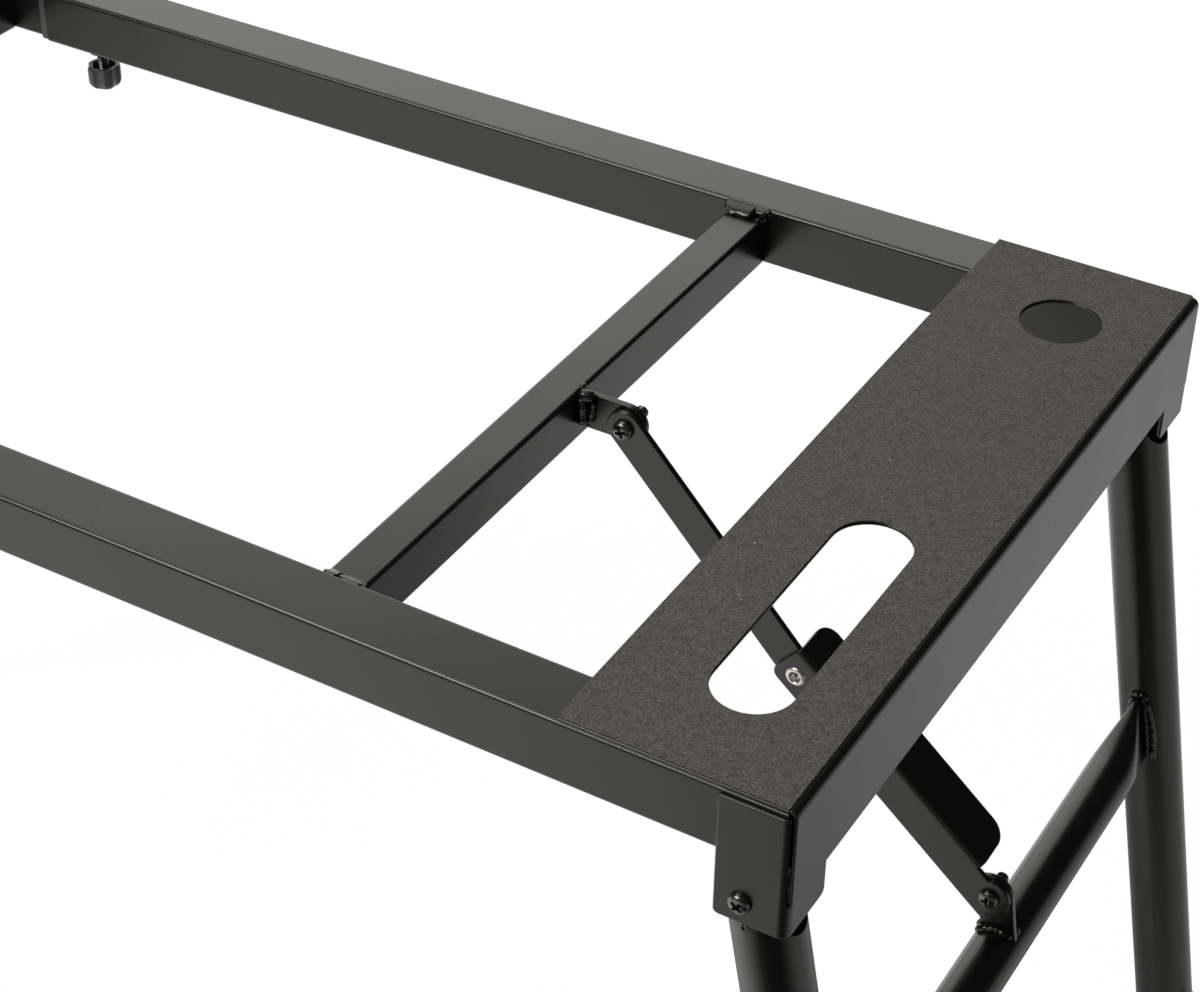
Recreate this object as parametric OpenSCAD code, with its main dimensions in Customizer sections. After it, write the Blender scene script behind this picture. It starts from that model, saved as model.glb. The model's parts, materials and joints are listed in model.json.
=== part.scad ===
// Folding keyboard stand, telescoping in width, with two splayed leg frames.
// X runs along the rails, the front is at -Y and the floor is at Z = 0.

/* [Overall size] */
// Length over the two end plates as the stand is set
stand_len = 908; // [892:1:1100]
// Height of the grip sheets above the floor
stand_h = 700; // [680:1:760]
// Depth of the end plates, front to back
plate_depth = 400; // [340:1:460]

/* [End plates] */
// Width of the top plate along the rails
plate_w = 100; // [90:1:120]
// Thickness of the plate steel
plate_t = 2; // [1.5:0.1:2.5]
// Thickness of the grip sheet on the top plate
grip_t = 0.7; // [0.4:0.1:1.2]
// Depth of the end flange below the top of the grip sheet
flange_h = 46.6; // [40:0.1:54]
// Outer radius of the bend between top and flange
bend_r = 3.5; // [3:0.1:5]
// Depth of the corner tabs and ears below the top
ear_h = 62.6; // [60:0.1:70]
// Length of an ear along the rail
ear_len = 31; // [29:0.5:40]
// Width of a corner tab across the end
tab_w = 29; // [24:0.5:40]
// Drop from the top of the grip sheet to the top of an ear
ear_drop = 4; // [3:0.1:6]
// Outer radius of the upright corner bends
corner_r = 4.5; // [3.5:0.1:6]
// Width of the slit between ear and flange
slit_w = 1.2; // [0.8:0.1:2]
// Depth of the slit below the top
slit_h = 46; // [40:0.5:46]
// Width of the long slot
slot_w = 34; // [28:1:40]
// Length of the long slot, end to end
slot_len = 133; // [90:1:150]
// Distance from the end flange to the middle line of the slot
slot_x = 46; // [44:0.5:52]
// Distance from the front edge of the plate to the slot
slot_margin = 37; // [34:1:50]
// Diameter of the round hole
hole_d = 37; // [28:1:40]
// Distance from the end flange to the middle of the round hole
hole_x = 46.6; // [44:0.1:52]
// Distance from the rear edge of the plate to the middle of the round hole
hole_margin = 52.5; // [51:0.5:60]

/* [Rails] */
// Width of the square outer rails
rail_w = 30; // [28:1:32]
// Wall of the outer rails and short left rails
rail_wall = 1.2; // [1:0.1:1.4]
// Outer corner radius of the square tubes
rail_r = 2; // [1.7:0.1:2.5]
// Length of slide tube that shows between the two ends as the stand is set
slide_show = 44; // [36:1:60]
// Width of the square slide tubes
slide_w = 27; // [24:0.1:27]
// Length of the slide tubes
slide_len = 750; // [700:1:760]
// Thickness of the collars at the mouths of the outer rails
mouth_collar_t = 4; // [3:0.5:6]
// Distance from the end flange to the near face of a crossbar
crossbar_x = 207.5; // [190:0.5:225]
// Width of a crossbar along the rails
crossbar_w = 20; // [18:0.5:25]
// Height of a crossbar
crossbar_h = 25; // [22:0.5:27]
// Wall of the crossbars
crossbar_wall = 1.5; // [1:0.1:2]

/* [Legs] */
// Splay of the legs from upright, in degrees
splay = 10.5; // [8:0.5:12]
// Distance from the end flange to the leg pivot
pivot_x = 19.5; // [19.3:0.1:23]
// Depth of the leg pivot below the top
pivot_z = 51.8; // [50:0.1:53]
// Outer diameter of the upper leg tubes
leg_d = 29.5; // [28:0.1:29.6]
// Wall of the upper leg tubes
leg_wall = 1.5; // [1.2:0.1:1.8]
// Length of an upper leg tube below its pivot
upper_leg_len = 400; // [380:1:430]
// Radius of the leg tube's ears round the pivot
leg_ear_r = 9; // [8:0.5:10]
// Width of the notch in the leg's top
notch_w = 22; // [20:0.5:24]
// Depth of the notch below the pivot
notch_h = 22.5; // [20:0.5:30]
// Outer diameter of the lower leg tubes
lower_leg_d = 25.5; // [24:0.1:25.5]
// Wall of the lower leg tubes
lower_leg_wall = 1.5; // [1.2:0.1:2]
// Distance from the pivot to the top of a lower leg tube
lower_leg_top = 255; // [250:1:300]
// Length of lower leg tube that is left above the floor, inside the foot
foot_floor = 10; // [9:0.5:14]
// Outer diameter of the rubber feet
foot_d = 31; // [29:0.5:36]
// Length of a rubber foot along the leg
foot_len = 37; // [34:1:45]
// Distance from the pivot to the leg cross tube
cross_s = 182.4; // [175:0.1:195]
// Offset of the leg cross tube outwards from the legs' plane
cross_offset = 0.8; // [0:0.1:3]
// Diameter of the leg cross tube
cross_d = 24; // [22:0.5:25]
// Wall of the leg cross tube
cross_wall = 1.5; // [1:0.1:2]
// Length of the pressed taper at each end of the leg cross tube
crimp_len = 45; // [30:1:60]
// Thickness of the pressed ends of the leg cross tube
crimp_t = 4; // [3:0.5:6]

/* [Height clamps] */
// Outer diameter of the leg collars
collar_d = 36; // [35:0.5:40]
// Height of the leg collars
collar_h = 32; // [28:1:36]
// Lip of a leg collar below the end of the upper tube
collar_lip = 4; // [3:0.5:6]

/* [Brace] */
// Distance from the end flange to the pivot on the crossbar bracket
brace_top_x = 183.5; // [180:0.5:186]
// Depth of the pivot on the crossbar bracket
brace_top_z = 18; // [17:0.5:20]
// Distance from the end flange to the knee
knee_x = 92.6; // [90:0.1:95]
// Depth of the knee
knee_z = 115.8; // [113:0.1:118]
// Distance from the leg pivot to the brace's lower pivot, along the leg
brace_low_s = 150; // [148:0.5:153]
// Offset of that pivot outwards from the legs' plane
brace_low_out = 1.2; // [0:0.1:2]
// Width of the upper link
link_w = 17.5; // [15:0.5:18]
// Thickness of the upper link and of the two bracket plates
link_t = 3; // [2.5:0.1:3.2]
// Width of the lower link's web
web_w = 22.6; // [21.5:0.1:24]
// Thickness of the lower link
web_t = 2.5; // [2:0.1:3]
// Distance from the knee to the lower link's open edge
web_edge = 9.2; // [8:0.1:9.5]
// Turn of the lower link's edges from the line between its pivots, in degrees
web_skew = 1.4; // [0.5:0.1:2]
// Reach of the lower link's flange from front to back
link_flange_w = 25; // [20:0.5:30]
// Length of the lower link's flange
link_flange_len = 126; // [110:1:128]
// Outer bend radius of the lower link
link_bend_r = 4; // [3.7:0.1:5]

/* [Fasteners] */
// Diameter of the bolts
bolt_d = 6; // [5:0.1:6]
// Diameter of the bolt heads
bolt_head_d = 9.4; // [9:0.1:12]
// Height of the bolt heads
bolt_head_h = 3.3; // [3:0.1:4.5]
// Length of the upper brace bolt under its head
link_bolt_len = 17.5; // [16:0.5:20]
// Length of the lower brace bolt under its head
lower_bolt_len = 16; // [15:0.5:20]
// Width across the flats of the nuts
nut_af = 10; // [9:0.1:11]
// Height of the nuts
nut_h = 5; // [4:0.1:6]
// Diameter of the knee rivet's shank
rivet_d = 7; // [6:0.1:8]
// Diameter of the rivet's rolled ends
rivet_head_d = 9.6; // [9:0.1:11]
// Diameter of the hole through the rivet
rivet_bore_d = 5.2; // [4:0.1:5.5]

/* [Clamping knobs] */
// Diameter of the knobs
knob_d = 18.5; // [18:0.5:24]
// Height of the knobs
knob_h = 13; // [11:0.5:16]
// Diameter of the clamping screws
stud_d = 6; // [5:0.1:8]
// Distance from the mouth of an outer rail to its clamping screw
clamp_inset = 25.3; // [20:0.1:40]
// Length of clamping screw that shows between nut and knob
stud_gap = 7.5; // [4:0.5:9]
// Height of the weld nuts for the clamping screws
weld_nut_h = 6; // [5:0.5:8]

/* [Clearances] */
// Gap between faces that slide or turn past each other
run_gap = 0.3; // [0.2:0.05:0.35]
// Radial gap of a bolt in the hole of a piece that turns on it
pin_gap = 0.25; // [0.15:0.05:0.3]
// Gap between pieces that are welded or pressed together
weld_gap = 0.1; // [0.05:0.05:0.15]

/* [Hidden] */
$fn = 64;
half_len = stand_len / 2;
half_depth = plate_depth / 2;
thin = 0.01;

plate_z = -grip_t - plate_t;
flange_y = half_depth - slit_w / 2;
rail_y = half_depth - rail_w / 2;
rail_mid_z = plate_z - rail_w / 2;
rail_end_x = -bend_r;
outer_rail_len = stand_len - crossbar_x - slide_show + rail_end_x;
mouth_x = rail_end_x - outer_rail_len;

leg_y = rail_y;
pivot_up = stand_h - pivot_z;
floor_s = pivot_up / cos(splay);
lower_leg_end = floor_s - foot_floor;
foot_top_s = floor_s - foot_len;
pivot_r = bolt_d / 2;
pivot_hole_r = pivot_r + pin_gap;
lug_t = 3;
lug_r = 13;
lug_top = 12;

knee_dx = brace_top_x - knee_x;
knee_dz = brace_top_z - knee_z;
upper_len = norm([knee_dx, knee_dz]);
upper_angle = atan2(knee_dz, knee_dx);
low_x = -pivot_x + brace_low_s * sin(splay) + brace_low_out * cos(splay);
low_z = -pivot_z - brace_low_s * cos(splay) + brace_low_out * sin(splay);
lower_len = norm([low_x + knee_x, low_z + knee_z]);
lower_angle = atan2(low_z + knee_z, low_x + knee_x);
web_low = [lower_len * cos(web_skew), lower_len * sin(web_skew)];
web_end = 9;
web_top = web_w - web_edge;

bracket_back = 0;
link_back = bracket_back - link_t - run_gap;
web_back = link_back - link_t - run_gap;
web_front = web_back - web_t;

clamp_x = mouth_x + clamp_inset;
rail_low_z = plate_z - rail_w;
knob_top_z = rail_low_z - weld_nut_h - stud_gap;
collar_low_s = upper_leg_len + collar_lip;
collar_mid_s = collar_low_s - collar_h / 2;
boss_r = 8;
boss_x = collar_d / 2 + 5;

black = [0.09, 0.09, 0.09];
satin = [0.12, 0.12, 0.12];
grip = [0.22, 0.21, 0.2];
steel = [0.6, 0.6, 0.6];
dark_steel = [0.25, 0.25, 0.25];

ENDS = ["right", "left"];
SIDES = ["front", "rear"];

// Frames

// Puts a piece of one end in place: x runs inwards from the flange as negative,
// z runs down from the grip sheet as negative. The left end is the right one turned round.
module at_end(e) {
    rotate([0, 0, e == "left" ? 180 : 0])
        translate([half_len, 0, stand_h]) children();
}

// The axes of a leg: z runs up the leg from its pivot, x is square to it and points outwards
module at_leg() {
    translate([-pivot_x, 0, -pivot_z]) rotate([0, -splay, 0]) children();
}

module both_sides() {
    for (m = [0, 1]) mirror([0, m, 0]) children();
}

// An upright sheet: the outline is in x and z, its rear face lies at y
module upright_sheet(y, t) {
    translate([0, y, 0]) rotate([90, 0, 0]) linear_extrude(t) children();
}

module round_square(w, h, r) {
    square([w - 2 * r, h], center = true);
    square([w, h - 2 * r], center = true);
    for (x = [-1, 1]) for (y = [-1, 1])
        translate([x * (w / 2 - r), y * (h / 2 - r)]) circle(r, $fn = 32);
}

// A square tube along +X, centred on the axis
module square_tube(len, w, h, wall, r) {
    rotate([90, 0, 90]) linear_extrude(len) difference() {
        round_square(w, h, r);
        round_square(w - 2 * wall, h - 2 * wall, max(r - wall, 0.3));
    }
}

module ring_2d(ro, ri, from, to) {
    intersection() {
        difference() {
            circle(ro);
            circle(ri);
        }
        polygon([[0, 0],
                 2 * ro * [cos(from), sin(from)],
                 2 * ro * [cos((from + to) / 2), sin((from + to) / 2)],
                 2 * ro * [cos(to), sin(to)]]);
    }
}

// Fasteners

// A bolt along -Z whose head stands on Z = 0, with a cross recess
module pan_bolt(len) {
    pan_head();
    translate([0, 0, -len]) cylinder(r = bolt_d / 2, h = len);
}

module pan_head() {
    edge = bolt_head_h * 0.55;
    difference() {
        rotate_extrude() {
            square([bolt_head_d / 2 - edge, bolt_head_h]);
            square([bolt_head_d / 2, bolt_head_h - edge]);
            translate([bolt_head_d / 2 - edge, bolt_head_h - edge]) intersection() {
                circle(edge);
                square(edge);
            }
        }
        for (a = [0, 90]) rotate([0, 0, a]) translate([0, 0, bolt_head_h])
            cube([bolt_head_d * 0.5, bolt_head_d * 0.12, bolt_head_h], center = true);
    }
}

// A lock nut along +Z from Z = 0
module lock_nut() {
    collar_part = 0.3;
    difference() {
        union() {
            cylinder(d = nut_af / cos(30), h = nut_h * (1 - collar_part), $fn = 6);
            cylinder(d = nut_af * 0.93, h = nut_h);
        }
        translate([0, 0, -1]) cylinder(r = pivot_r + weld_gap, h = nut_h + 2);
    }
}

// Faces a fastener to the front, so that its +Z points to -Y
module facing_front() {
    rotate([90, 0, 0]) children();
}

// A knob under its screw: the knob's upper face lies on Z = 0 and the screw stands up from it
module clamp_knob(stud_len) {
    flutes = 5;
    round_r = 4;
    recess_r = stud_d / 2 + 3.4;
    color(black) difference() {
        rotate_extrude() {
            translate([0, -knob_h]) square([knob_d / 2 - round_r, knob_h]);
            translate([0, round_r - knob_h]) square([knob_d / 2, knob_h - round_r]);
            translate([knob_d / 2 - round_r, round_r - knob_h]) circle(round_r);
        }
        for (i = [0:flutes - 1]) rotate([0, 0, (i + 0.5) * 360 / flutes])
            translate([knob_d * 0.72, 0, -knob_h - 1]) cylinder(d = knob_d * 0.6, h = knob_h + 2);
        translate([0, 0, -knob_h * 0.4]) cylinder(r = recess_r, h = knob_h);
        translate([0, 0, -knob_h * 0.75]) cylinder(r = stud_d / 2 + weld_gap, h = knob_h);
    }
    color(dark_steel) translate([0, 0, -knob_h * 0.72]) cylinder(d = stud_d, h = stud_len + knob_h * 0.72);
}

// End plates

module openings_2d() {
    y0 = -half_depth + slot_margin + slot_w / 2;
    translate([-slot_x, y0]) circle(slot_w / 2);
    translate([-slot_x, y0 + slot_len - slot_w]) circle(slot_w / 2);
    translate([-slot_x - slot_w / 2, y0]) square([slot_w, slot_len - slot_w]);
    translate([-hole_x, half_depth - hole_margin]) circle(d = hole_d);
}

module top_2d(x_end) {
    difference() {
        translate([-plate_w, -half_depth]) square([plate_w + x_end, plate_depth]);
        openings_2d();
    }
}

// The bent steel bracket: top, flange, corner tabs and the ears that carry the leg pivots
module end_plate() {
    flange_top = -grip_t - bend_r;
    color(satin) difference() {
        union() {
            translate([0, 0, plate_z]) linear_extrude(plate_t) top_2d(-bend_r);
            translate([-bend_r, flange_y, flange_top]) rotate([90, 0, 0])
                linear_extrude(2 * flange_y) ring_2d(bend_r, bend_r - plate_t, 0, 90);
            rotate([90, 0, 90]) translate([0, 0, -plate_t]) linear_extrude(plate_t) flange_2d(flange_top);
            both_sides() corner_bend();
            both_sides() upright_sheet(-half_depth, plate_t) ear_2d();
        }
        both_sides() translate([-pivot_x, -half_depth + 1, -pivot_z]) facing_front()
            cylinder(r = pivot_r + weld_gap, h = plate_t + 2);
    }
}

// The flange from the end: y to the right, z up
module flange_2d(top) {
    straight = half_depth - corner_r + plate_t;
    corner = 3;
    translate([-flange_y, -slit_h]) square([2 * flange_y, slit_h + top]);
    translate([-straight, -flange_h]) square([2 * straight, flange_h + top]);
    for (m = [-1, 1]) scale([m, 1]) {
        translate([-straight, -ear_h]) square([tab_w - corner_r + plate_t - corner, ear_h + top]);
        translate([-straight, -ear_h + corner]) square([tab_w - corner_r + plate_t, ear_h - corner + top]);
        translate([-half_depth + tab_w - corner, -ear_h + corner]) circle(corner, $fn = 32);
    }
}

// The upright bend at the front corner: whole below the slit, half above it
module corner_bend() {
    axis_y = -half_depth - plate_t + corner_r;
    slit_angle = asin(slit_w / corner_r);
    translate([-corner_r, axis_y, -ear_h]) {
        linear_extrude(ear_h - slit_h) ring_2d(corner_r, corner_r - plate_t, -90, 0);
        linear_extrude(ear_h - ear_drop) ring_2d(corner_r, corner_r - plate_t, -90, -35 - slit_angle);
    }
}

module ear_2d() {
    corner = 2.5;
    difference() {
        translate([-ear_len, -ear_h]) square([ear_len - corner_r, ear_h - ear_drop]);
        translate([-ear_len, -ear_h]) square(corner);
    }
    translate([-ear_len + corner, -ear_h + corner]) circle(corner, $fn = 32);
}

module grip_sheet() {
    inset = 0.6;
    color(grip) translate([0, 0, -grip_t]) linear_extrude(grip_t) difference() {
        translate([-plate_w + inset, -half_depth + inset])
            square([plate_w - bend_r - inset, plate_depth - 2 * inset]);
        openings_2d();
    }
}

// The inner support of a leg pivot, on the inside face of the rail
module pivot_lug() {
    color(satin) upright_sheet(-half_depth + rail_w + lug_t, lug_t) difference() {
        union() {
            translate([-pivot_x, -pivot_z]) circle(lug_r);
            translate([-pivot_x - lug_r, -pivot_z]) square([2 * lug_r, pivot_z - lug_top]);
        }
        translate([-pivot_x, -pivot_z]) circle(pivot_r + weld_gap);
    }
}

module pivot_bolt() {
    len = 2 * plate_t + rail_w + lug_t + nut_h;
    color(dark_steel) translate([-pivot_x, -half_depth - plate_t, -pivot_z]) facing_front() pan_bolt(len);
}

module pivot_nut() {
    color(steel) translate([-pivot_x, -half_depth + rail_w + lug_t, -pivot_z])
        rotate([-90, 0, 0]) lock_nut();
}

// Rails

// An outer rail of the right end, with the hole for its clamping screw
module outer_rail() {
    color(satin) difference() {
        translate([mouth_x, -rail_y, rail_mid_z])
            square_tube(outer_rail_len, rail_w, rail_w, rail_wall, rail_r);
        translate([clamp_x, -rail_y, rail_low_z - 1])
            cylinder(r = stud_d / 2 + run_gap, h = rail_wall + 2);
    }
}

// A short rail of the left end, welded round its slide tube
module short_rail() {
    wall = (rail_w - slide_w) / 2 - weld_gap;
    color(satin) translate([-crossbar_x, -rail_y, rail_mid_z])
        square_tube(crossbar_x + rail_end_x, rail_w, rail_w, wall, rail_r);
}

module slide_tube() {
    color(satin) translate([rail_end_x - slide_len, -rail_y, rail_mid_z])
        square_tube(slide_len, slide_w, slide_w, rail_wall, rail_r);
}

module weld_nut() {
    color(steel) translate([clamp_x, -rail_y, rail_low_z - weld_nut_h]) difference() {
        cylinder(d = 2 * stud_d + 1, h = weld_nut_h, $fn = 6);
        translate([0, 0, -1]) cylinder(r = stud_d / 2 + pin_gap, h = weld_nut_h + 2);
    }
}

module rail_knob() {
    translate([clamp_x, -rail_y, knob_top_z]) clamp_knob(rail_mid_z - slide_w / 2 - run_gap - knob_top_z);
}

module mouth_collar() {
    color(black) translate([mouth_x - mouth_collar_t, -rail_y, rail_mid_z])
        rotate([90, 0, 90]) linear_extrude(mouth_collar_t) difference() {
            round_square(rail_w - 0.8, rail_w - 0.8, rail_r);
            round_square(slide_w + 2 * run_gap, slide_w + 2 * run_gap, rail_r);
        }
}

// The bar between the tubes of an end, level with their undersides
module crossbar(tube_w) {
    len = 2 * rail_y - tube_w;
    color(satin) translate([-crossbar_x - crossbar_w / 2, len / 2, rail_mid_z + (crossbar_h - tube_w) / 2])
        rotate([0, 0, -90]) square_tube(len, crossbar_w, crossbar_h, crossbar_wall, rail_r);
}

// Brace

// The plate on the crossbar that carries the upper link
module brace_bracket() {
    end_r = 9.3;
    rise = 1;
    color(satin) upright_sheet(bracket_back, link_t) difference() {
        translate([-brace_top_x, rise - brace_top_z]) {
            circle(end_r);
            translate([brace_top_x - crossbar_x, -end_r]) square([crossbar_x - brace_top_x, 2 * end_r]);
        }
        translate([-brace_top_x, -brace_top_z]) circle(pivot_r + weld_gap);
    }
}

module link_bolt() {
    color(dark_steel) translate([-brace_top_x, link_back - link_t - run_gap, -brace_top_z])
        facing_front() pan_bolt(link_bolt_len);
}

// The nuts of the fixed pivots of an end
module lock_nuts() {
    both_sides() pivot_nut();
    color(steel) translate([-brace_top_x, bracket_back, -brace_top_z]) rotate([-90, 0, 0]) lock_nut();
}

module upper_link() {
    color(satin) translate([-brace_top_x, 0, -brace_top_z]) rotate([0, -upper_angle, 0])
        upright_sheet(link_back, link_t) difference() {
            union() {
                circle(d = link_w);
                translate([upper_len, 0]) circle(d = link_w);
                translate([0, -link_w / 2]) square([upper_len, link_w]);
            }
            circle(pivot_hole_r);
            translate([upper_len, 0]) circle(rivet_d / 2 + pin_gap);
        }
}

// The axes of the lower link: x runs down its edges from the knee, z points to its flange
module at_web() {
    translate([-knee_x, 0, -knee_z]) rotate([0, -lower_angle + web_skew, 0]) children();
}

module web_2d() {
    corner = 5;
    low_corner = 3;
    height = web_top - link_bend_r + web_edge;
    low_end = web_low[0] + 7.5;
    translate([-web_end + corner, -web_edge]) square([low_end - low_corner + web_end - corner, height]);
    translate([-web_end, -web_edge + corner]) square([web_end + low_end, height - corner]);
    translate([-web_end + corner, -web_edge + corner]) circle(corner, $fn = 32);
    translate([low_end - low_corner, -web_edge + low_corner]) circle(low_corner, $fn = 32);
    translate(web_low) circle(web_end + 0.5);
}

module link_flange_2d() {
    y0 = web_front + link_bend_r;
    y1 = web_front + link_flange_w;
    r = 9;
    translate([-web_end, y0]) square([link_flange_len, y1 - y0 - r]);
    translate([-web_end + r, y0]) square([link_flange_len - 2 * r, y1 - y0]);
    for (x = [-web_end + r, link_flange_len - web_end - r]) translate([x, y1 - r]) circle(r);
}

// The lower link: a web and a flange that stops the knee just past its straight line
module lower_link() {
    color(satin) difference() {
        at_web() {
            upright_sheet(web_back, web_t) web_2d();
            translate([-web_end, web_front + link_bend_r, web_top - link_bend_r]) rotate([90, 0, 90])
                linear_extrude(link_flange_len) ring_2d(link_bend_r, link_bend_r - web_t, 90, 180);
            translate([0, 0, web_top - web_t]) linear_extrude(web_t) link_flange_2d();
        }
        translate([-knee_x, web_back + 1, -knee_z]) facing_front()
            cylinder(r = rivet_d / 2 + weld_gap, h = web_t + 2);
        translate([low_x, web_back + 1, low_z]) facing_front()
            cylinder(r = pivot_r + weld_gap, h = web_t + 2);
    }
}

// The hollow rivet at the knee, with both ends rolled over
module knee_rivet() {
    head_t = 1;
    back = link_back + run_gap + head_t;
    color(steel) translate([-knee_x, back, -knee_z]) facing_front() difference() {
        union() {
            cylinder(d = rivet_d, h = back - web_front + head_t);
            cylinder(d = rivet_head_d, h = head_t);
            translate([0, 0, back - web_front]) cylinder(d = rivet_head_d, h = head_t);
        }
        translate([0, 0, -1]) cylinder(d = rivet_bore_d, h = back - web_front + head_t + 2);
    }
}

// The lower pivot is split where web and bracket meet: its head stays with the link
module lower_screw() {
    color(dark_steel) translate([low_x, web_front, low_z]) facing_front() pan_bolt(web_t);
}

module lower_pin() {
    color(dark_steel) translate([low_x, web_back + run_gap, low_z]) rotate([-90, 0, 0])
        cylinder(r = pivot_r, h = lower_bolt_len - web_t - run_gap);
    color(steel) translate([low_x, link_back, low_z]) rotate([-90, 0, 0]) lock_nut();
}

// The plate that stands on the leg cross tube and carries the lower link
module leg_bracket() {
    top_r = 10;
    neck_in = 6.7;
    neck_out = 9.8;
    flare = 3;
    rise = cross_s - brace_low_s;
    top_x = brace_low_out - cross_offset;
    color(satin) at_leg() translate([cross_offset, 0, -cross_s])
        upright_sheet(link_back, link_t) difference() {
            union() {
                translate([top_x, rise]) circle(top_r);
                polygon([[top_x - top_r, rise], [-neck_in, rise / 2], [-neck_in - flare, 0],
                         [neck_out, 0], [neck_out, rise / 2], [top_x + top_r, rise]]);
            }
            translate([top_x, rise]) circle(pivot_r + weld_gap);
            circle(d = cross_d + 2 * weld_gap);
        }
}

// Legs

module tube(ro, ri, from, to) {
    translate([0, 0, from]) difference() {
        cylinder(r = ro, h = to - from);
        translate([0, 0, -1]) cylinder(r = ri, h = to - from + 2);
    }
}

// An upper leg tube with a notched top that turns on the pivot bolt
module upper_leg() {
    ro = leg_d / 2;
    color(satin) at_leg() translate([0, -leg_y, 0]) difference() {
        union() {
            tube(ro, ro - leg_wall, -upper_leg_len, 0);
            intersection() {
                tube(ro, ro - leg_wall, -leg_ear_r, leg_ear_r);
                translate([0, ro, 0]) facing_front() cylinder(r = leg_ear_r, h = leg_d);
            }
        }
        translate([-leg_d, -notch_w / 2, notch_w / 2 - notch_h]) cube([2 * leg_d, notch_w, notch_h + leg_ear_r]);
        translate([-leg_d, 0, notch_w / 2 - notch_h]) rotate([0, 90, 0]) cylinder(d = notch_w, h = 2 * leg_d);
        translate([0, leg_d, 0]) facing_front() cylinder(r = pivot_hole_r, h = 2 * leg_d);
        translate([0, 0, -collar_mid_s]) rotate([0, 90, 0]) cylinder(r = stud_d / 2 + run_gap, h = leg_d);
    }
}

// A collar that guides the lower leg tube and carries its clamping screw
module leg_collar() {
    slip = lower_leg_d / 2 + run_gap;
    color(black) at_leg() translate([0, -leg_y, 0]) difference() {
        union() {
            translate([0, 0, -collar_low_s]) cylinder(d = collar_d, h = collar_h);
            translate([0, 0, -collar_mid_s]) rotate([0, 90, 0]) cylinder(r = boss_r, h = boss_x);
        }
        translate([0, 0, -upper_leg_len]) cylinder(r = leg_d / 2 + weld_gap, h = collar_h);
        translate([0, 0, -collar_low_s - 1]) cylinder(r = slip, h = collar_h + 2);
        translate([0, 0, -collar_mid_s]) rotate([0, 90, 0]) cylinder(r = stud_d / 2 + pin_gap, h = boss_x + 1);
    }
}

module leg_knob() {
    gap = 1.5;
    reach = boss_x + gap - lower_leg_d / 2 - run_gap;
    at_leg() translate([boss_x + gap, -leg_y, -collar_mid_s]) rotate([0, -90, 0]) clamp_knob(reach);
}

module lower_leg() {
    color(satin) at_leg() translate([0, -leg_y, 0])
        tube(lower_leg_d / 2, lower_leg_d / 2 - lower_leg_wall, -lower_leg_end, -lower_leg_top);
}

// A rubber foot, cut level with the floor
module foot() {
    edge = 2;
    bore_r = lower_leg_d / 2 + weld_gap;
    color(black) difference() {
        at_leg() translate([0, -leg_y, 0]) difference() {
            translate([0, 0, -foot_top_s - edge]) union() {
                translate([0, 0, -foot_len]) cylinder(d = foot_d, h = foot_len);
                cylinder(d1 = foot_d, d2 = foot_d - 2 * edge, h = edge, $fn = 64);
            }
            translate([0, 0, -lower_leg_end]) cylinder(r = bore_r, h = foot_len);
        }
        translate([-stand_len, -plate_depth, -stand_h - 50]) cube([2 * stand_len, 2 * plate_depth, 50]);
    }
}

// One pressed end of the leg cross tube, towards the rear
module pressed_end() {
    flat = PI * cross_d / 4 - crimp_t / 2;
    tip = leg_y - leg_d / 2 + 2;
    hull() {
        translate([0, leg_y - leg_d / 2 - crimp_len, 0]) rotate([-90, 0, 0])
            cylinder(d = cross_d, h = thin, $fn = 32);
        for (z = [-flat, flat]) translate([0, tip - 7, z]) rotate([-90, 0, 0])
            cylinder(d = crimp_t, h = 7, $fn = 16);
    }
}

// The tube that ties the two legs of an end, its ends pressed flat against them
module leg_cross_tube() {
    straight = leg_y - leg_d / 2 - crimp_len;
    color(satin) at_leg() difference() {
        translate([cross_offset, 0, -cross_s]) difference() {
            union() {
                translate([0, -straight, 0]) rotate([-90, 0, 0]) cylinder(d = cross_d, h = 2 * straight);
                both_sides() pressed_end();
            }
            translate([0, -straight, 0]) rotate([-90, 0, 0])
                cylinder(d = cross_d - 2 * cross_wall, h = 2 * straight);
        }
        for (y = [-leg_y, leg_y]) translate([0, y, -cross_s - 40])
            cylinder(r = leg_d / 2 + weld_gap, h = 80);
    }
}

// Takes a front piece of an end to the side named: the left end is turned round, so its sides swap
module on_side(e, s) {
    mirror([0, (s == "rear") != (e == "left") ? 1 : 0, 0]) children();
}

for (e = ENDS) at_end(e) {
    end_plate();
    grip_sheet();
    crossbar(e == "left" ? slide_w : rail_w);
    brace_bracket();
    both_sides() pivot_lug();
    both_sides() pivot_bolt();
    lock_nuts();
    link_bolt();
    leg_cross_tube();
    leg_bracket();
    both_sides() leg_collar();
    lower_pin();
    upper_link();
    lower_link();
    knee_rivet();
    lower_screw();
    for (s = SIDES) on_side(e, s) {
        upper_leg();
        lower_leg();
        foot();
        leg_knob();
    }
}
for (s = SIDES) {
    at_end("right") on_side("right", s) {
        outer_rail();
        rail_knob();
    }
    at_end("left") on_side("left", s) {
        short_rail();
        slide_tube();
    }
}
at_end("right") both_sides() {
    weld_nut();  // weld_nuts
    mouth_collar();  // mouth_collars
}
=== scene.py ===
import json
import math
import random

import bmesh
import bpy
from bpy.props import FloatProperty, FloatVectorProperty, IntProperty, PointerProperty
from mathutils import Matrix, Vector

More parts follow.
